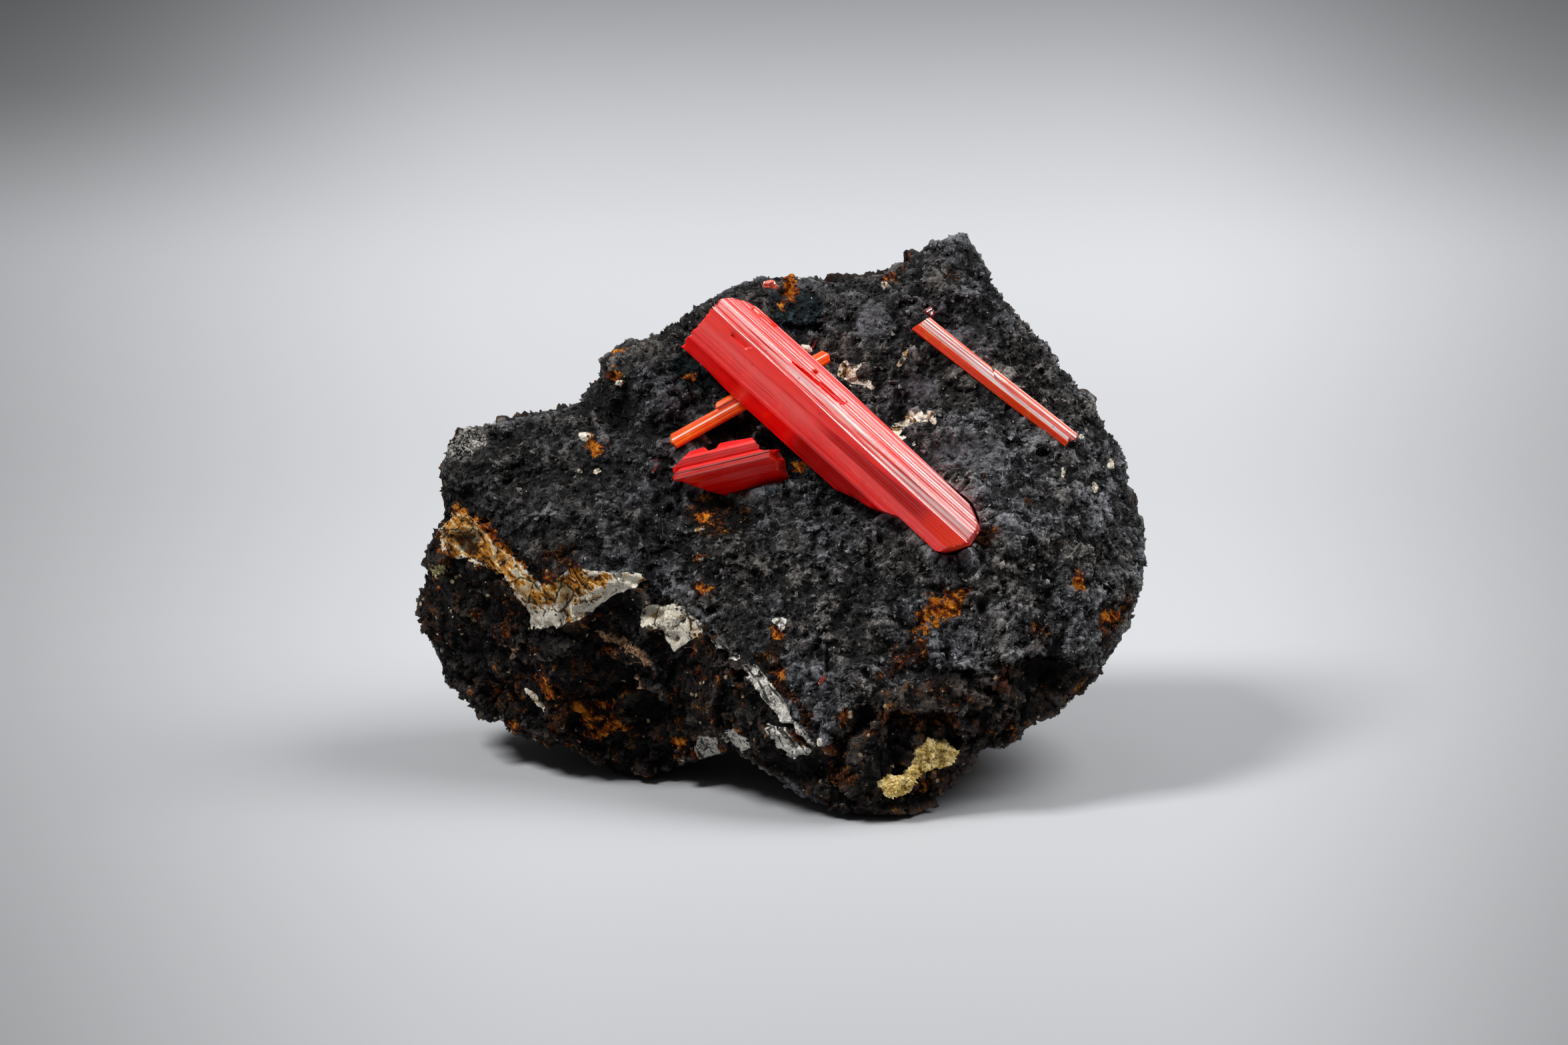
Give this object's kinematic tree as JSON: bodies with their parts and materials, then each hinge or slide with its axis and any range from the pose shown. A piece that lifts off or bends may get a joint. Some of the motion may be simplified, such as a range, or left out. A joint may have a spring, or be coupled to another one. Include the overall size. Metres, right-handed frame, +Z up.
{
  "type": "crocoite crystals on gossan",
  "caption": "Red-orange striated crocoite prisms lying across a loose piece of near-black porous gossan, crossed by cream and ochre veins and resting on its own rough feet.",
  "frame": {"origin": "on the ground, at the middle of the footprint box", "axes": "+Z up, +X to the right and +Y away when the crystal-bearing face is seen from the front"},
  "size_m": [0.0768, 0.0418, 0.0533],
  "materials": {
    "gossan": "rough, velvety and porous, with cream and ochre veins",
    "red_crocoite": "translucent, adamantine lustre, fine striations along the prism",
    "orange_crocoite": "translucent orange-red, bright lustre",
    "coral_chip": "milky coral pink, fractured",
    "dark_crocoite": "dark red, glassy",
    "yellow_crust": "matt, fine-grained"
  },
  "bodies": {
    "root": {"matrix": "gossan", "large_crystal": "red_crocoite", "crossing_crystal": "orange_crocoite", "broken_crystal": "red_crocoite", "thin_crystal": "orange_crocoite", "coral_chip": "coral_chip", "dark_red_chip": "dark_crocoite", "red_sliver": "dark_crocoite", "yellow_crust": "yellow_crust"}
  },
  "joints": []
}
